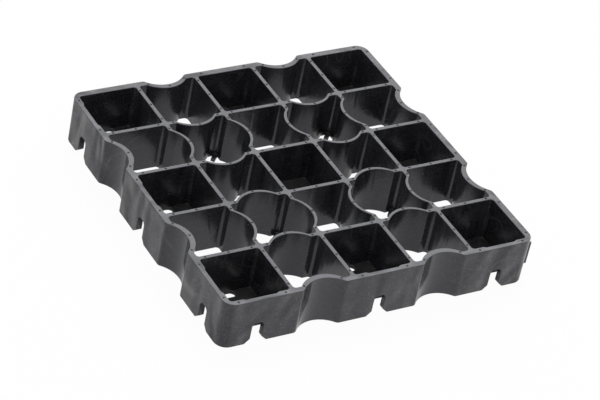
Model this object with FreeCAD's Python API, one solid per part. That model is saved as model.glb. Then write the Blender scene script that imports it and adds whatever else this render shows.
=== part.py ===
"""Grass paver grid: one moulded plastic tile with open cells, slots and tabs.

Millimetres. X runs along the front edge, Y from front to back, Z up. The origin is on the
ground, under the middle of the grid. Cells are counted from 0 along X and along Y.
"""
import FreeCAD, Part
import math
import os

Vector = FreeCAD.Vector

# Grid
PITCH = 64.0                # between the middles of neighbouring cells
SQUARE_CELLS = 3            # along each side, with one other cell between two of them
HEIGHT = 50.0
INNER_WALL = 4.2            # every straight wall between two cells
NODE_FILLET = 3.0           # where walls meet, inside a cell

# Curved walls
CURVE_RADIUS = 28.5         # of every curved face
CROWN = 9.6                 # from a grid line to the middle of a curved wall's crown
CURVED_WALL = 3.4           # at the crown, between two cells
CURVED_OUTER_WALL = 6.0     # at the crown, on the outside of the tile
NOTCH_DEPTH = 10.6          # of the notch that a curved outer wall makes in the outline
NOTCH_ROUND = 5.0           # at both ends of each notch

# Straight outer walls
EDGE_MARGIN = 5.0           # from the outermost grid line to the outside of the tile
SLOT_WALL = 6.2             # front and left, which have the slots
TAB_WALL = 7.0              # back and right, which carry the tabs
CORNER_RADIUS = 12.0
RECESS_DEPTH = 1.5          # thinner middle of the slotted walls, inside
RECESS_HALF = 15.5          # half length of the thin stretch
RECESS_SLOPE = 3.0          # length of its slanted ends
RECESS_ABOVE_SLOT = 3.5     # from the top of the slot to the thin stretch

# Floors of the square cells
FLOOR = 4.0
MIDDLE_FLOOR_TOP = 7.8      # the middle cell's floor stands higher
DRAIN_LENGTH = 24.0
DRAIN_WIDTH = 8.5

# Slots in the front and left walls
SLOT_WIDTH = 12.0
SLOT_HEIGHT = 22.5
SLOT_TOP_CORNER = 4.0
SLOT_MOUTH = 22.6
SLOT_FLARE = 5.0            # height of the flared mouth
ENTRY_DEPTH = 13.5          # floor opening behind the slot, where a neighbour's tab comes in
ENTRY_SIDE_PLAY = 2.0       # room beside that tab's head
ENTRY_FILLET = 3.0

# Low bars at the ground, in one corner of each cell between four square ones
SPUR_REACH = 14.0           # from the crossing of the grid lines
SPUR_WIDTH = 4.5
SPUR_HEIGHT = 4.0

# Tabs on the back and right walls
TAB_GAP = 8.2               # between the wall and the head, room for a neighbour's wall
TAB_HEAD_THICKNESS = 2.5
TAB_HEAD_LENGTH = 42.0
TAB_HEAD_HEIGHT = 25.5
TAB_BOTTOM = 7.0
TAB_SLOT_PLAY = 1.5         # between the tab's stem and each side of a slot, and its top

# Sides of a cell and of the tile, walked anticlockwise
FRONT, RIGHT, BACK, LEFT = range(4)
SLOT_SIDES = (FRONT, LEFT)
TAB_SIDES = (RIGHT, BACK)

# Worked out from the above
CELLS = 2 * SQUARE_CELLS - 1
HALF_PITCH = PITCH / 2
HALF_GRID = CELLS * HALF_PITCH
HALF_SIDE = HALF_GRID + EDGE_MARGIN
MIDDLE = CELLS // 2
OUTSIDE = HALF_PITCH + EDGE_MARGIN      # from the middle of a rim cell to the tile's outside
INNER_FACE = HALF_PITCH - INNER_WALL / 2
SLOT_FACE = OUTSIDE - SLOT_WALL
TAB_FACE = OUTSIDE - TAB_WALL
CUT_PAST = 5.0                          # how far a cutting solid runs past what it cuts


def half_chord(rise):
    """Half the length of a curved face that leaves its straight line by a rise."""
    return math.sqrt(CURVE_RADIUS ** 2 - (CURVE_RADIUS - abs(rise)) ** 2)


def line(a, b):
    return Part.makeLine(a, b)


def arc(a, middle, b):
    return Part.Arc(a, middle, b).toShape()


def centre_of(index):
    return (index - MIDDLE) * PITCH


def is_square(column, row):
    return column % 2 == 0 and row % 2 == 0


def steps_to_middle(column, row):
    return abs(column - MIDDLE) + abs(row - MIDDLE)


def solid_from(edges, bottom, top):
    """A prism on a closed run of edges, given in order."""
    face = Part.Face(Part.Wire(edges))
    face.translate(Vector(0, 0, bottom))
    return face.extrude(Vector(0, 0, top - bottom))


class Side:
    """Places points by their distance along a side and out from the centre."""

    def __init__(self, centre, number):
        turn = math.radians(90 * number)
        self.centre = centre
        self.along = Vector(round(math.cos(turn)), round(math.sin(turn)), 0)
        self.outward = Vector(self.along.y, -self.along.x, 0)

    def point(self, u, v, z=0.0):
        return self.centre + self.along * u + self.outward * v + Vector(0, 0, z)


def inner_rise(outward):
    """Rise of one face of a curved inner wall, seen from a cell, positive away from the cell."""
    if outward:
        return CROWN - CURVED_WALL / 2 + INNER_WALL / 2
    return -(CROWN + CURVED_WALL / 2 - INNER_WALL / 2)


def rim_rise(level):
    """Rise of the inner face of a curved outer wall, from a straight line at a level."""
    return OUTSIDE - NOTCH_DEPTH - CURVED_OUTER_WALL - level


def across(column, row, number):
    """The cell on the other side of a wall, which may lie off the tile."""
    step = ((0, -1), (1, 0), (0, 1), (-1, 0))[number]
    return column + step[0], row + step[1]


def on_rim(column, row, number):
    return not all(0 <= index < CELLS for index in across(column, row, number))


def is_curved(column, row, number):
    """A wall is straight where a cell beside it is square."""
    if is_square(column, row):
        return False
    return on_rim(column, row, number) or not is_square(*across(column, row, number))


def bulges_outward(column, row, number):
    """Every curved wall bulges towards the middle of the tile."""
    return steps_to_middle(*across(column, row, number)) < steps_to_middle(column, row)


def is_slotted(column, row, number):
    return is_square(column, row) and number in SLOT_SIDES and on_rim(column, row, number)


def face_distance(column, row, number):
    """From a cell's middle to the straight parts of one of its walls."""
    if not on_rim(column, row, number):
        return INNER_FACE
    return SLOT_FACE if number in SLOT_SIDES else TAB_FACE


def side_edges(side, column, row, number, start, end):
    """Edges of one cell side between two points at the cell's corners."""
    level = face_distance(column, row, number)
    if not is_curved(column, row, number):
        return [line(side.point(start, level), side.point(end, level))]
    if on_rim(column, row, number):
        rise = rim_rise(level)
    else:
        rise = inner_rise(bulges_outward(column, row, number))
    half = half_chord(rise)
    first = side.point(-half, level)
    last = side.point(half, level)
    return [line(side.point(start, level), first),
            arc(first, side.point(0, level + rise), last),
            line(last, side.point(end, level))]


def cell_edges(column, row):
    """Closed outline of a cell, with filleted corners."""
    centre = Vector(centre_of(column), centre_of(row), 0)
    edges = []
    for number in range(4):
        side = Side(centre, number)
        level = face_distance(column, row, number)
        before = face_distance(column, row, (number - 1) % 4)
        after = face_distance(column, row, (number + 1) % 4)
        start = -before + NODE_FILLET
        end = after - NODE_FILLET
        edges += side_edges(side, column, row, number, start, end)
        reach = NODE_FILLET * math.sqrt(0.5)
        edges.append(arc(side.point(end, level),
                         side.point(end + reach, level - NODE_FILLET + reach),
                         side.point(after, level - NODE_FILLET)))
    return edges


def notch_points(side, middle):
    """Ends, tangent points and arc middles of a notch with rounded ends, along a side."""
    hub = HALF_SIDE - NOTCH_DEPTH + CURVE_RADIUS
    between = CURVE_RADIUS + NOTCH_ROUND
    drop = hub - HALF_SIDE + NOTCH_ROUND
    end = math.sqrt(between ** 2 - drop ** 2)
    lean = math.asin(end / between)
    share = CURVE_RADIUS / between
    halfway = (end - NOTCH_ROUND * math.sin(lean / 2), HALF_SIDE - NOTCH_ROUND * (1 - math.cos(lean / 2)))
    touch = (end * share, hub - drop * share)
    half = [(end, HALF_SIDE), halfway, touch]
    mirrored = [(-u, v) for u, v in half]
    flat = mirrored + [(0, HALF_SIDE - NOTCH_DEPTH)] + half[::-1]
    return [side.point(middle + u, v) for u, v in flat]


def outline_edges():
    """Closed outline of the tile, with a round notch at every other cell."""
    edges = []
    for number in range(4):
        side = Side(Vector(0, 0, 0), number)
        end = HALF_SIDE - CORNER_RADIUS
        last = side.point(-end, HALF_SIDE)
        for index in range(1, CELLS, 2):
            points = notch_points(side, centre_of(index))
            edges.append(line(last, points[0]))
            edges += [arc(*points[first:first + 3]) for first in (0, 2, 4)]
            last = points[-1]
        edges.append(line(last, side.point(end, HALF_SIDE)))
        reach = CORNER_RADIUS * math.sqrt(0.5)
        edges.append(arc(side.point(end, HALF_SIDE),
                         side.point(end + reach, end + reach),
                         side.point(HALF_SIDE, end)))
    return edges


def drain_cutter(side, level):
    """A round-ended hole through a floor, with its outer edge on a wall's face."""
    radius = DRAIN_WIDTH / 2
    half = DRAIN_LENGTH / 2 - radius
    near = level - DRAIN_WIDTH
    edges = [line(side.point(-half, near), side.point(half, near)),
             arc(side.point(half, near), side.point(half + radius, level - radius),
                 side.point(half, level)),
             line(side.point(half, level), side.point(-half, level)),
             arc(side.point(-half, level), side.point(-half - radius, level - radius),
                 side.point(-half, near))]
    return solid_from(edges, -CUT_PAST, FLOOR + CUT_PAST)


def slot_cutter(side):
    """The slot through an outer wall, flared at its mouth, and rounded at its top corners."""
    outside = OUTSIDE + CUT_PAST
    inside = SLOT_FACE - CUT_PAST
    half = SLOT_WIDTH / 2
    mouth = SLOT_MOUTH / 2
    shoulder = SLOT_HEIGHT - SLOT_TOP_CORNER
    inset = SLOT_TOP_CORNER * (1 - math.sqrt(0.5))

    def at(u, z):
        return side.point(u, outside, z)

    edges = [line(at(-mouth, -CUT_PAST), at(mouth, -CUT_PAST)),
             line(at(mouth, -CUT_PAST), at(mouth, 0)),
             line(at(mouth, 0), at(half, SLOT_FLARE)),
             line(at(half, SLOT_FLARE), at(half, shoulder)),
             arc(at(half, shoulder), at(half - inset, SLOT_HEIGHT - inset),
                 at(half - SLOT_TOP_CORNER, SLOT_HEIGHT)),
             line(at(half - SLOT_TOP_CORNER, SLOT_HEIGHT), at(-half + SLOT_TOP_CORNER, SLOT_HEIGHT)),
             arc(at(-half + SLOT_TOP_CORNER, SLOT_HEIGHT), at(-half + inset, SLOT_HEIGHT - inset),
                 at(-half, shoulder)),
             line(at(-half, shoulder), at(-half, SLOT_FLARE)),
             line(at(-half, SLOT_FLARE), at(-mouth, 0)),
             line(at(-mouth, 0), at(-mouth, -CUT_PAST))]
    return Part.Face(Part.Wire(edges)).extrude(side.outward * (inside - outside))


def recess_cutter(side):
    """Thins the middle of a slotted wall from inside, above its slot."""
    wide = RECESS_HALF + RECESS_SLOPE
    inside = SLOT_FACE - CUT_PAST
    deep = SLOT_FACE + RECESS_DEPTH
    corners = [(-wide, inside), (wide, inside), (wide, SLOT_FACE), (RECESS_HALF, deep),
               (-RECESS_HALF, deep), (-wide, SLOT_FACE), (-wide, inside)]
    points = [side.point(u, v) for u, v in corners]
    edges = [line(a, b) for a, b in zip(points, points[1:])]
    return solid_from(edges, SLOT_HEIGHT + RECESS_ABOVE_SLOT, HEIGHT + CUT_PAST)


def entry_cutter(side):
    """The floor opening behind a slot, as long as a tab's head and its play."""
    level = SLOT_FACE
    half = TAB_HEAD_LENGTH / 2 + ENTRY_SIDE_PLAY
    near = level - ENTRY_DEPTH
    radius = ENTRY_FILLET
    inset = radius * (1 - math.sqrt(0.5))
    edges = [line(side.point(-half, level), side.point(-half, near + radius)),
             arc(side.point(-half, near + radius), side.point(-half + inset, near + inset),
                 side.point(-half + radius, near)),
             line(side.point(-half + radius, near), side.point(half - radius, near)),
             arc(side.point(half - radius, near), side.point(half - inset, near + inset),
                 side.point(half, near + radius)),
             line(side.point(half, near + radius), side.point(half, level)),
             line(side.point(half, level), side.point(-half, level))]
    return solid_from(edges, -CUT_PAST, FLOOR + CUT_PAST)


def tab(side):
    """A T seen from above: a stem on the wall and a thin upright head."""
    stem = SLOT_WIDTH / 2 - TAB_SLOT_PLAY
    head = TAB_HEAD_LENGTH / 2
    near = OUTSIDE + TAB_GAP
    far = near + TAB_HEAD_THICKNESS
    stem_top = SLOT_HEIGHT - TAB_SLOT_PLAY

    def block(half, low, high, bottom, top):
        corners = [(-half, low), (half, low), (half, high), (-half, high), (-half, low)]
        points = [side.point(u, v) for u, v in corners]
        return solid_from([line(a, b) for a, b in zip(points, points[1:])], bottom, top)

    stem_block = block(stem, OUTSIDE - TAB_WALL / 2, far, TAB_BOTTOM, stem_top)
    head_block = block(head, near, far, TAB_BOTTOM, TAB_BOTTOM + TAB_HEAD_HEIGHT)
    return stem_block.fuse(head_block)


def spur(column, row):
    """A low bar along the diagonal, out of a cell's back right corner."""
    inward = Vector(-1, -1, 0).normalize()
    beside = Vector(inward.y, -inward.x, 0) * (SPUR_WIDTH / 2)
    root = Vector(centre_of(column) + HALF_PITCH, centre_of(row) + HALF_PITCH, 0)
    tip = root + inward * SPUR_REACH
    points = [root + beside, root - beside, tip - beside, tip + beside, root + beside]
    return solid_from([line(a, b) for a, b in zip(points, points[1:])], 0, SPUR_HEIGHT)


def cell_bottom(column, row):
    """Level where a cell's cavity starts: below the tile where the cell is open."""
    if not is_square(column, row):
        return -CUT_PAST
    return FLOOR if steps_to_middle(column, row) else MIDDLE_FLOOR_TOP


def floor_cutters(column, row):
    """Slots, their recesses and floor openings, and the drains of a square cell."""
    cutters = []
    for number in range(4):
        side = Side(Vector(centre_of(column), centre_of(row), 0), number)
        if is_slotted(column, row, number):
            cutters += [slot_cutter(side), recess_cutter(side), entry_cutter(side)]
        elif number in TAB_SIDES and steps_to_middle(column, row):
            cutters.append(drain_cutter(side, face_distance(column, row, number)))
    return cutters


def paver_grid():
    body = solid_from(outline_edges(), 0, HEIGHT)
    cutters = []
    added = []
    for row in range(CELLS):
        for column in range(CELLS):
            edges = cell_edges(column, row)
            cutters.append(solid_from(edges, cell_bottom(column, row), HEIGHT + CUT_PAST))
            if is_square(column, row):
                cutters += floor_cutters(column, row)
                centre = Vector(centre_of(column), centre_of(row), 0)
                added += [tab(Side(centre, number)) for number in TAB_SIDES
                          if on_rim(column, row, number)]
            elif is_square(column + 1, row + 1):
                added.append(spur(column, row))
    return body.cut(cutters).fuse(added).removeSplitter()


os.makedirs("parts", exist_ok=True)
grid = paver_grid()
grid.exportStep("parts/paver_grid.step")
print("solids", len(grid.Solids), "valid", grid.isValid(), "volume mm3", round(grid.Volume))
print("box", grid.BoundBox)
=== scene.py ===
"""Looks of the grass paver grid: softened edges, dimples, dark moulded plastic, studio.

Metres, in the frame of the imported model: X along the front edge, Y to the back, Z up.
"""
import bmesh
import bpy
import math
from mathutils import Matrix, Vector
from types import SimpleNamespace


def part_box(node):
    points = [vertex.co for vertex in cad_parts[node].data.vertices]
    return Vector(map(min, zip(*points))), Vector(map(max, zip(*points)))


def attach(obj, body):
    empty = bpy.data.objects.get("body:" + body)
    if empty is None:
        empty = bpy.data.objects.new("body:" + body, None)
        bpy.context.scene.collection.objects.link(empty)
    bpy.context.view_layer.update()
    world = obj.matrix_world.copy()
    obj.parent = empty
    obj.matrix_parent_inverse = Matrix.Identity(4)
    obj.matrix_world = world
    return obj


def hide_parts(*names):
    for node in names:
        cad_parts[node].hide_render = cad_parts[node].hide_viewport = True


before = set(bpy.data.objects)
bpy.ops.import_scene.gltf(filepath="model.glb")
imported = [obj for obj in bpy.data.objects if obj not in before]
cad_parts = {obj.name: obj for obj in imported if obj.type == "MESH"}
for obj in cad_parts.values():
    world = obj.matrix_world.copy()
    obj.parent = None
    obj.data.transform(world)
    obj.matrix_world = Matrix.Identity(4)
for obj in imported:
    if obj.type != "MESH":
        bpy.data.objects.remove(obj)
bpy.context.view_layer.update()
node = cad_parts["paver_grid"]
GRID_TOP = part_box("paver_grid")[1].z

# Layout of the grid, as on the solid
PITCH = 0.064
CELLS = 5
MIDDLE = CELLS // 2
HALF_GRID = CELLS * PITCH / 2
CURVE_RADIUS = 0.0285
CROWN = 0.0096                  # grid line to the middle of an inner curved wall's crown
RIM_CROWN = 0.0086              # the same on the outside of the tile
RIM_LINE = 0.0019               # grid line to the middle of a straight outer wall

# Softened edges
EDGE_ROUND = 0.00055
EDGE_SEGMENTS = 2
SHARP_ANGLE = math.radians(25)
FLAT_ANGLE = math.radians(0.5)
WELD = 1e-6

# Dimples in the tops of the walls, placed along each wall from its middle
DIMPLE_RADIUS = 0.0012
DIMPLE_TAPER = 0.4              # share of the radius that it loses from its rim to its bottom
DIMPLE_DEPTH = 0.003
DIMPLE_SIDES = 14
STRAIGHT_DIMPLES = (-0.024, 0.0, 0.024)
RIM_DIMPLES = (-0.024, 0.024)
CURVE_DIMPLES = (-0.024, 0.0, 0.024)
NOTCH_DIMPLES = (-0.0195, 0.0, 0.0195)
BARE_COLUMN = 0                 # the column whose back wall has no dimples

# Colours of the plastic
DARK = (0.0125, 0.0125, 0.0142, 1.0)
LIGHT = (0.028, 0.028, 0.0312, 1.0)
# The lighter tint below marks scuffs and flow arcs, and is also painted light on the tops, painted
# sheen on the inner walls and a painted reflection in the notches
SCUFF_AND_SHEEN = (0.052, 0.0532, 0.0605, 1.0)
SCRATCHED = (0.16, 0.16, 0.165, 1.0)
# Painted shade: darker tint for the upright walls inside the tile
INNER_SHADE_COLOUR = (0.007, 0.007, 0.008, 1.0)
DUSTY = (0.042, 0.042, 0.043, 1.0)
FLECK = (0.42, 0.39, 0.32, 1.0)

# Its gloss
ROUGHNESS = 0.24
ROUGHNESS_SPREAD = 0.16
SCUFFED_ROUGHNESS = 0.46
NOTCH_SMOOTHER = 0.1            # taken off the roughness in the notches
REFRACTION = 1.57
GLOSS_TINT = (0.94, 0.94, 1.0, 1.0)

# Areas of the tile that look different, each from a value where it starts to one where it is full
LEVEL = (0.2, 0.8)              # upward part of the normal
NEAR_TOP = (GRID_TOP - EDGE_ROUND, GRID_TOP - EDGE_ROUND / 3)
LOW = GRID_TOP / 2              # below it are the floors
PAST_CELLS = (0.146, 0.152)     # from the middle to where the walls between the cells end
OUTSIDE = (0.156, 0.164)        # from the middle to the outer faces
BEHIND = (0.143, 0.149)         # from the middle to the back and right rims, whose tops get the least of the lighter tint
FACING_OUT = (0.02, 0.06)       # distance from the middle, times the outward part of the normal

# Patterns in the plastic: sizes of their parts, turns in degrees, and the values where they show
CLOUD = 0.045
CLOUD_DETAIL = 3.0
SPECKLE = 0.003
GRAIN = 0.0009
FLOW = (0.024, 0.024, 0.0018)
FLOW_TURNS = (7, -5, 0)
FLOW_BEND = 1.2
SWIRL = 0.06
SWIRL_BEND = 0.4
ARC_STEPS = 7.0                 # bold lines in one part of the swirl
ARC_SHOWS = (0.8, 1.0)
ARC_PATCH = 0.055
ARC_PATCH_TURNS = (0, 0, 40)
ARC_PATCH_SHOWS = (0.45, 0.6)
FOLD = (0.026, 0.026, 0.045)
FOLD_BEND = 0.8
BAND = (0.012, 0.012, 0.09)
BAND_BEND = 0.5
BAND_SHOWS = (0.45, 0.65)
HATCH = (0.009, 0.009, 0.0013)
HATCH_TURNS = (16, -12, 0)
HATCH_SHOWS = (0.52, 0.66)
HATCH_CLOUD = (0.42, 0.58)
SCRATCH = (0.026, 0.0006, 0.0006)
SCRATCH_TURNS = (20, 75, 140)   # about Z
SCRATCH_SHOWS = (0.71, 0.78)
STREAK = (0.008, 0.008, 0.0006)
STREAK_TURNS = (8, -38, 62)     # about X and Y
STREAK_SHOWS = (0.62, 0.76)
INNER_STREAKS = 0.4             # share of the streaks' strength inside the tile
DUST_SHOWS = (0.3, 0.7)
TOP_TINT_SHOWS = (0.1, 0.55)
FLECK_SPACING = 0.008
FLECK_RADIUS = 0.00035
FLECK_BARE = 0.75               # share of the places for a fleck that have none
NOISE_MIDDLE = 0.5

# Shares of the patterns in the tone, which goes from dark to light
CLOUD_TONE = 0.45
SPECKLE_TONE = 0.1
FLOW_TONE = 0.3
TONE_SHOWS = (0.28, 0.59)

# Strengths of the tints
ARC_TINT = 0.65
# Painted shade on the inner walls
INNER_PAINTED_SHADE = 0.5
# Painted reflection in the notches
NOTCH_PAINTED_REFLECTION = 0.4
# Painted sheen on the inner walls, in bands and slanting lines
BAND_PAINTED_SHEEN = 0.25
HATCH_PAINTED_SHEEN = 0.35
SCRATCH_TINT = 0.4
FULL_TINT = 1.0
INNER_WEAR_AND_LIGHT = 0.7                # share of the tops' wear and painted light on the walls inside the tile

# Relief
FOLD_HEIGHT = 4.5e-3
BAND_HEIGHT = 2e-4
FLOW_HEIGHT = 2e-5
ARC_HEIGHT = 4e-5
GRAIN_HEIGHT = 2e-5
SCRATCH_DEPTH = 2e-5

# Camera, fitted to the wall crossings in the photograph
CAMERA_TARGET = Vector((-0.0066, -0.0202, 0.0256))
CAMERA_DISTANCE = 2.4865
CAMERA_AZIMUTH = math.radians(36.28)
CAMERA_ELEVATION = math.radians(36.56)
CAMERA_ROLL = math.radians(12.36)
CAMERA_LENS = 157.39
CAMERA_REACH = 20.0
SENSOR_WIDTH = 36.0

# Studio
FLOOR_HALF = 4.0
FLOOR_COLOUR = (0.9, 0.9, 0.9, 1.0)
FLOOR_SEEN_WHITE = 0.955        # share of plain white in what the camera sees of the floor
FLOOR_MIRRORED_WHITE = 0.9      # the same in reflections
FLOOR_CLOSED_DIMMED = 0.65      # how much darker it is in reflections under the closed cells
FLOOR_OPEN_DIMMED = 0.12        # and under the open ones
FLOOR_LEFT_DIMMED = 0.2         # and on the left of the tile, away from the lamps
FLOOR_UNDER_HALF = 0.157        # from the middle to where light from outside reaches
WHITE = (1.0, 1.0, 1.0, 1.0)
SKY_LIGHT = 0.5                 # strength of the sky where it isn't seen or mirrored
BACK_BOX = (Vector((1.42, 1.95, 1.78)), 3.4, 78.0)      # place, side, power
TOP_BOX = (Vector((-0.3, -0.1, 1.6)), 1.6, 7.0)


def is_square(column, row):
    return column % 2 == 0 and row % 2 == 0


def curve_offset(crown, along):
    """Distance of a curved wall's middle line from the grid line, at a place along it."""
    return max(crown - CURVE_RADIUS + math.sqrt(CURVE_RADIUS ** 2 - along ** 2), 0.0)


def wall_dimples(index, across):
    """Dimples of one wall, as places along it and off its grid line, towards the middle."""
    rim = across in (0, CELLS)
    near = max(across - 1, 0)
    far = min(across, CELLS - 1)
    if not is_square(index, near) and not is_square(index, far):
        crown, places = (RIM_CROWN, NOTCH_DIMPLES) if rim else (CROWN, CURVE_DIMPLES)
        return [(along, curve_offset(crown, along)) for along in places]
    if rim:
        return [(along, -RIM_LINE) for along in RIM_DIMPLES]
    return [(along, 0.0) for along in STRAIGHT_DIMPLES]


def dimple_places():
    """Places of all the dimples, as (x, y). The crowns of the front notches have none."""
    places = []
    for across in range(CELLS + 1):
        line = across * PITCH - HALF_GRID
        towards_middle = 1 if line < 0 else -1
        for index in range(CELLS):
            middle = (index - MIDDLE) * PITCH
            for along, off in wall_dimples(index, across):
                level = line + towards_middle * off
                places.append((level, middle + along))
                bare_back = across == CELLS and index == BARE_COLUMN
                bare_crown = across == 0 and along == 0.0
                if not bare_back and not bare_crown:
                    places.append((middle + along, level))
    return places


def link(name, data):
    """Puts a mesh, lamp or camera into the scene."""
    holder = bpy.data.objects.new(name, data)
    bpy.context.scene.collection.objects.link(holder)
    return holder


def mesh_from(bm, name):
    mesh = bpy.data.meshes.new(name)
    bm.to_mesh(mesh)
    bm.free()
    return mesh


def apply_modifiers(piece):
    """Bakes a piece's modifiers into its mesh."""
    graph = bpy.context.evaluated_depsgraph_get()
    mesh = bpy.data.meshes.new_from_object(piece.evaluated_get(graph))
    piece.modifiers.clear()
    piece.data = mesh


def dimple_cutter():
    """Short blunt cones, narrow ends down, one at each dimple."""
    bm = bmesh.new()
    narrow = DIMPLE_RADIUS * (1 - DIMPLE_TAPER)
    wide = DIMPLE_RADIUS * (1 + DIMPLE_TAPER)
    for x, y in dimple_places():
        place = Matrix.Translation((x, y, GRID_TOP))
        bmesh.ops.create_cone(bm, cap_ends=True, segments=DIMPLE_SIDES, radius1=narrow,
                              radius2=wide, depth=2 * DIMPLE_DEPTH, matrix=place)
    return link("dimples", mesh_from(bm, "dimples"))


def moulded_grid():
    """The grid's own mesh with rounded edges and dimples."""
    bm = bmesh.new()
    bm.from_mesh(node.data)
    bmesh.ops.remove_doubles(bm, verts=bm.verts, dist=WELD)
    bmesh.ops.dissolve_limit(bm, angle_limit=FLAT_ANGLE, verts=bm.verts, edges=bm.edges)
    mesh = mesh_from(bm, "moulded_grid")
    mesh.shade_smooth()
    piece = link("moulded_grid", mesh)
    bevel = piece.modifiers.new("rounded edges", "BEVEL")
    bevel.width = EDGE_ROUND
    bevel.segments = EDGE_SEGMENTS
    bevel.limit_method = "ANGLE"
    bevel.angle_limit = SHARP_ANGLE
    bevel.use_clamp_overlap = False
    bevel.loop_slide = False
    cutter = dimple_cutter()
    cut = piece.modifiers.new("dimples", "BOOLEAN")
    cut.operation = "DIFFERENCE"
    cut.solver = "EXACT"
    cut.object = cutter
    apply_modifiers(piece)
    bpy.data.objects.remove(cutter)
    bm = bmesh.new()
    bm.from_mesh(piece.data)
    bmesh.ops.dissolve_degenerate(bm, dist=WELD, edges=bm.edges)
    bm.to_mesh(piece.data)
    bm.free()
    piece.modifiers.new("even shading", "WEIGHTED_NORMAL")
    apply_modifiers(piece)
    return piece


class Shader:
    """Adds nodes to a material or a world. Most methods return an output for the next node."""

    def __init__(self, owner):
        owner.use_nodes = True
        self.tree = owner.node_tree
        self.tree.nodes.clear()

    def add(self, kind, inputs, **settings):
        added = self.tree.nodes.new("ShaderNode" + kind)
        for name, value in settings.items():
            setattr(added, name, value)
        for name, value in inputs.items():
            if isinstance(value, bpy.types.NodeSocket):
                self.tree.links.new(value, added.inputs[name])
            else:
                added.inputs[name].default_value = value
        return added

    def math(self, operation, *values):
        return self.add("Math", dict(enumerate(values)), operation=operation).outputs[0]

    def rest(self, share):
        """What a share leaves of 1."""
        return self.math("SUBTRACT", 1.0, share)

    def span(self, value, low, high):
        """Rises from 0 at a low value to 1 at a high one."""
        inputs = {"Value": value, "From Min": low, "From Max": high}
        return self.add("MapRange", inputs, interpolation_type="SMOOTHSTEP").outputs["Result"]

    def place(self):
        return self.add("TexCoord", {}).outputs["Object"]

    def noise(self, place, size, detail=2.0, turns=(0, 0, 0), distortion=0.0):
        """Cloudy values with parts of a size, which may differ along X, Y and Z."""
        sizes = size if isinstance(size, tuple) else (size, size, size)
        rotation = [math.radians(turn) for turn in turns]
        inputs = {"Vector": place, "Rotation": rotation, "Scale": sizes}
        mapped = self.add("Mapping", inputs, vector_type="TEXTURE").outputs[0]
        inputs = {"Vector": mapped, "Scale": 1.0, "Detail": detail, "Distortion": distortion}
        return self.add("TexNoise", inputs).outputs["Fac"]

    def blend(self, factor, first, second):
        """Goes from a first colour to a second one."""
        return self.add("Mix", {0: factor, 6: first, 7: second}, data_type="RGBA").outputs[2]

    def seen_directly(self):
        """Two values of 1 or 0: for rays from the camera, and for those from mirrors and glass."""
        path = self.add("LightPath", {}).outputs
        mirror = self.math("MAXIMUM", path["Is Glossy Ray"], path["Is Transmission Ray"])
        return path["Is Camera Ray"], mirror


def areas(shader, place):
    """Shares of the areas of the tile, from 0 to 1."""
    x, y, height = shader.add("SeparateXYZ", {0: place}).outputs
    normal = shader.add("NewGeometry", {}).outputs["Normal"]
    upward = shader.add("SeparateXYZ", {0: normal}).outputs["Z"]
    level = shader.span(upward, *LEVEL)
    upright = shader.rest(level)
    reach = shader.math("MAXIMUM", shader.math("ABSOLUTE", x), shader.math("ABSOLUTE", y))
    past_cells = shader.span(reach, *PAST_CELLS)
    outside = shader.span(reach, *OUTSIDE)
    product = shader.add("VectorMath", {0: place, 1: normal}, operation="DOT_PRODUCT")
    facing_out = shader.span(product.outputs["Value"], *FACING_OUT)
    notch = shader.math("MULTIPLY", past_cells, shader.rest(outside))
    notch = shader.math("MULTIPLY", notch, upright)
    behind = shader.span(shader.math("MAXIMUM", x, y), *BEHIND)
    # Share of the tops' lighter tint, part wear and part painted light, less inside the tile and
    # on the back and right rims
    worn_and_lit = shader.math("MULTIPLY_ADD", past_cells, 1 - INNER_WEAR_AND_LIGHT, INNER_WEAR_AND_LIGHT)
    return SimpleNamespace(
        upright=upright,
        outside=outside,
        inside=shader.rest(shader.math("MAXIMUM", level, past_cells)),
        notch=shader.math("MULTIPLY", notch, facing_out),
        worn_and_lit=shader.math("MULTIPLY", worn_and_lit, shader.rest(behind)),
        top=shader.math("MULTIPLY", shader.span(height, *NEAR_TOP), level),
        low=shader.math("MULTIPLY", level, shader.math("LESS_THAN", height, LOW)))


def scratches(shader, place, area):
    """Thin lines along the tops and floors, and shorter, slanting ones on the walls."""
    lines = 0.0
    for turn in SCRATCH_TURNS:
        noise = shader.noise(place, SCRATCH, 1.0, (0, 0, turn))
        lines = shader.math("MAXIMUM", lines, shader.span(noise, *SCRATCH_SHOWS))
    streaks = 0.0
    for turn in STREAK_TURNS:
        noise = shader.noise(place, STREAK, 1.0, (turn, turn, 0))
        streaks = shader.math("MAXIMUM", streaks, shader.span(noise, *STREAK_SHOWS))
    strength = shader.math("MULTIPLY_ADD", area.outside, 1 - INNER_STREAKS, INNER_STREAKS)
    strength = shader.math("MULTIPLY", strength, area.upright)
    return shader.math("MAXIMUM", lines, shader.math("MULTIPLY", streaks, strength))


def flow_lines(shader, place):
    """Fine level streaks left by the flowing plastic, and bold swirling lines in patches."""
    fine = shader.noise(place, FLOW, 2.0, FLOW_TURNS, FLOW_BEND)
    swirl = shader.noise(place, SWIRL, 1.0, distortion=SWIRL_BEND)
    arcs = shader.math("SINE", shader.math("MULTIPLY", swirl, ARC_STEPS * math.tau))
    arcs = shader.span(arcs, *ARC_SHOWS)
    patch = shader.noise(place, ARC_PATCH, 1.0, ARC_PATCH_TURNS)
    return fine, shader.math("MULTIPLY", arcs, shader.span(patch, *ARC_PATCH_SHOWS))


def inner_marks(shader, place, inside, cloud):
    """Upright bands of painted sheen on the inner walls, and fine slanting lines of painted sheen
    in patches.
    """
    bands = shader.noise(place, BAND, 0.0, distortion=BAND_BEND)
    bands = shader.math("MULTIPLY", shader.span(bands, *BAND_SHOWS), inside)
    patch = shader.math("MULTIPLY", inside, shader.span(cloud, *HATCH_CLOUD))
    hatch = shader.noise(place, HATCH, 1.0, HATCH_TURNS)
    return bands, shader.math("MULTIPLY", shader.span(hatch, *HATCH_SHOWS), patch)


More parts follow.
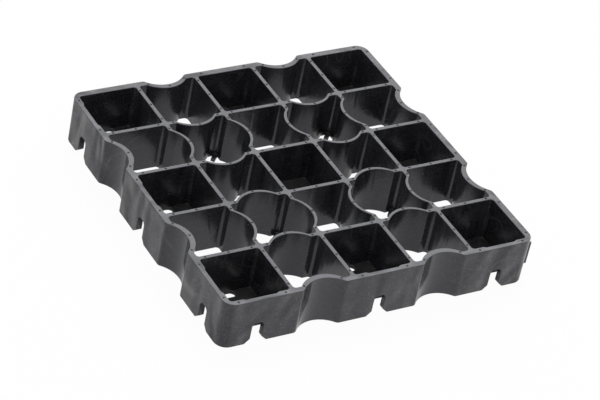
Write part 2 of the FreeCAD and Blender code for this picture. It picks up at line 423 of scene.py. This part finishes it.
def flecks(shader, place):
    """Small light specks, in a few of the cells of a pattern."""
    cells = shader.add("TexVoronoi", {"Vector": place, "Scale": 1 / FLECK_SPACING})
    radius = FLECK_RADIUS / FLECK_SPACING
    spot = shader.math("LESS_THAN", cells.outputs["Distance"], radius)
    chance = shader.add("SeparateColor", {"Color": cells.outputs["Color"]}).outputs[0]
    return shader.math("MULTIPLY", spot, shader.math("GREATER_THAN", chance, FLECK_BARE))


def plastic():
    """Dark recycled plastic: cloudy, with flow lines, soft folds and scratches, tops lighter by
    wear and painted light, painted shade and sheen inside and a painted reflection in the notches.
    """
    material = bpy.data.materials.new("dark_plastic")
    shader = Shader(material)
    place = shader.place()
    area = areas(shader, place)
    cloud = shader.noise(place, CLOUD, CLOUD_DETAIL)
    speckle = shader.noise(place, SPECKLE)
    fine, arcs = flow_lines(shader, place)
    bands, hatch = inner_marks(shader, place, area.inside, cloud)
    scratch = scratches(shader, place, area)
    dust = shader.math("MULTIPLY", area.low, shader.span(cloud, *DUST_SHOWS))
    scuff_and_top_light = shader.math("MULTIPLY", area.top, shader.span(speckle, *TOP_TINT_SHOWS))
    # Tops lighter, part wear and part painted light
    wear_and_top_light = shader.math("MULTIPLY", area.worn_and_lit, scuff_and_top_light)

    tone = shader.math("MULTIPLY", speckle, SPECKLE_TONE)
    tone = shader.math("MULTIPLY_ADD", cloud, CLOUD_TONE, tone)
    tone = shader.math("MULTIPLY_ADD", fine, FLOW_TONE, tone)
    colour = shader.blend(shader.span(tone, *TONE_SHOWS), DARK, LIGHT)
    # Among these tints: painted shade on the inner walls, painted sheen in bands and slanting
    # lines, a painted reflection in the notches, and painted light with the wear on the tops
    for mark, strength, tint in (
            (arcs, ARC_TINT, SCUFF_AND_SHEEN),
            (area.inside, INNER_PAINTED_SHADE, INNER_SHADE_COLOUR),
            (area.notch, NOTCH_PAINTED_REFLECTION, SCUFF_AND_SHEEN),
            (bands, BAND_PAINTED_SHEEN, SCUFF_AND_SHEEN),
            (hatch, HATCH_PAINTED_SHEEN, SCUFF_AND_SHEEN),
            (dust, FULL_TINT, DUSTY),
            (wear_and_top_light, FULL_TINT, SCUFF_AND_SHEEN),
            (scratch, SCRATCH_TINT, SCRATCHED),
            (flecks(shader, place), FULL_TINT, FLECK)):
        colour = shader.blend(shader.math("MULTIPLY", mark, strength), colour, tint)

    least = ROUGHNESS - ROUGHNESS_SPREAD / 2
    roughness = shader.math("MULTIPLY_ADD", cloud, ROUGHNESS_SPREAD, least)
    roughness = shader.math("MULTIPLY_ADD", scuff_and_top_light, SCUFFED_ROUGHNESS - ROUGHNESS, roughness)
    roughness = shader.math("MULTIPLY_ADD", area.notch, -NOTCH_SMOOTHER, roughness)

    folds = shader.noise(place, FOLD, 0.0, distortion=FOLD_BEND)
    folds = shader.math("SUBTRACT", folds, NOISE_MIDDLE)
    folds = shader.math("MULTIPLY", folds, area.outside)
    relief = shader.math("MULTIPLY", folds, FOLD_HEIGHT)
    for mark, height in (
            (bands, BAND_HEIGHT),
            (fine, FLOW_HEIGHT),
            (arcs, ARC_HEIGHT),
            (shader.noise(place, GRAIN), GRAIN_HEIGHT),
            (scratch, -SCRATCH_DEPTH)):
        relief = shader.math("MULTIPLY_ADD", mark, height, relief)
    bump = shader.add("Bump", {"Height": relief, "Strength": 1.0, "Distance": 1.0})

    surface = shader.add("BsdfPrincipled", {
        "Base Color": colour, "Roughness": roughness, "IOR": REFRACTION,
        "Specular Tint": GLOSS_TINT, "Normal": bump.outputs["Normal"]})
    shader.add("OutputMaterial", {"Surface": surface.outputs[0]})
    return material


def camera():
    data = bpy.data.cameras.new("camera")
    data.lens = CAMERA_LENS
    data.sensor_width = SENSOR_WIDTH
    data.clip_end = CAMERA_REACH
    level = math.cos(CAMERA_ELEVATION)
    forward = Vector((level * math.sin(CAMERA_AZIMUTH), level * math.cos(CAMERA_AZIMUTH),
                      -math.sin(CAMERA_ELEVATION)))
    roll = Matrix.Rotation(CAMERA_ROLL, 3, "Z").to_quaternion()
    turn = forward.to_track_quat("-Z", "Y") @ roll
    holder = link("camera", data)
    holder.matrix_world = (Matrix.Translation(CAMERA_TARGET - forward * CAMERA_DISTANCE)
                           @ turn.to_matrix().to_4x4())
    bpy.context.scene.camera = holder


def floor_dimming(shader):
    """Painted shade of the floor in reflections: how much darker it is under the tile and on its
    left.
    """
    x, y, _ = shader.add("SeparateXYZ", {0: shader.place()}).outputs
    on_tile = 1.0
    closed = 1.0
    for along in (x, y):
        near = shader.math("LESS_THAN", shader.math("ABSOLUTE", along), FLOOR_UNDER_HALF)
        on_tile = shader.math("MULTIPLY", on_tile, near)
        pairs = shader.math("MULTIPLY_ADD", along, 1 / (2 * PITCH), CELLS / 4)
        first_of_pair = shader.math("LESS_THAN", shader.math("FRACT", pairs), 1 / 2)
        closed = shader.math("MULTIPLY", closed, first_of_pair)
    under = shader.math("MULTIPLY_ADD", closed, FLOOR_CLOSED_DIMMED - FLOOR_OPEN_DIMMED,
                        FLOOR_OPEN_DIMMED)
    left = shader.span(x, -FLOOR_UNDER_HALF, -HALF_GRID)
    left = shader.math("MULTIPLY", left, FLOOR_LEFT_DIMMED)
    return shader.math("MULTIPLY_ADD", under, on_tile, left)


def floor_material():
    """White paper: it lights the object as paper does and looks nearly plain white."""
    material = bpy.data.materials.new("floor")
    shader = Shader(material)
    camera_ray, mirror_ray = shader.seen_directly()
    paper = shader.add("BsdfDiffuse", {"Color": FLOOR_COLOUR}).outputs[0]
    dimmed = shader.math("MULTIPLY", floor_dimming(shader), mirror_ray)
    white = shader.add("Emission", {"Strength": shader.rest(dimmed)}).outputs[0]
    mirrored = shader.math("MULTIPLY", mirror_ray, FLOOR_MIRRORED_WHITE)
    share = shader.math("MULTIPLY_ADD", camera_ray, FLOOR_SEEN_WHITE, mirrored)
    surface = shader.add("MixShader", {0: share, 1: paper, 2: white}).outputs[0]
    shader.add("OutputMaterial", {"Surface": surface})
    return material


def sky():
    """A world that looks white and lights the object more softly."""
    world = bpy.data.worlds.new("studio")
    bpy.context.scene.world = world
    shader = Shader(world)
    seen = shader.math("MAXIMUM", *shader.seen_directly())
    inputs = {"Value": seen, "To Min": SKY_LIGHT, "To Max": 1.0}
    strength = shader.add("MapRange", inputs).outputs["Result"]
    background = shader.add("Background", {"Color": WHITE, "Strength": strength}).outputs[0]
    shader.add("OutputWorld", {"Surface": background})


def studio():
    bm = bmesh.new()
    bmesh.ops.create_grid(bm, x_segments=1, y_segments=1, size=FLOOR_HALF)
    floor = link("floor", mesh_from(bm, "floor"))
    floor.data.materials.append(floor_material())
    sky()
    for name, (place, side, power) in (("back_box", BACK_BOX), ("top_box", TOP_BOX)):
        data = bpy.data.lights.new(name, "AREA")
        data.size = side
        data.energy = power
        turn = (-place).to_track_quat("-Z", "Y")
        lamp = link(name, data)
        lamp.matrix_world = Matrix.Translation(place) @ turn.to_matrix().to_4x4()


grid = moulded_grid()
grid.data.materials.clear()
grid.data.materials.append(plastic())
studio()
camera()
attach(grid, "root")
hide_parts("paver_grid")
bpy.context.scene.view_settings.view_transform = "Standard"
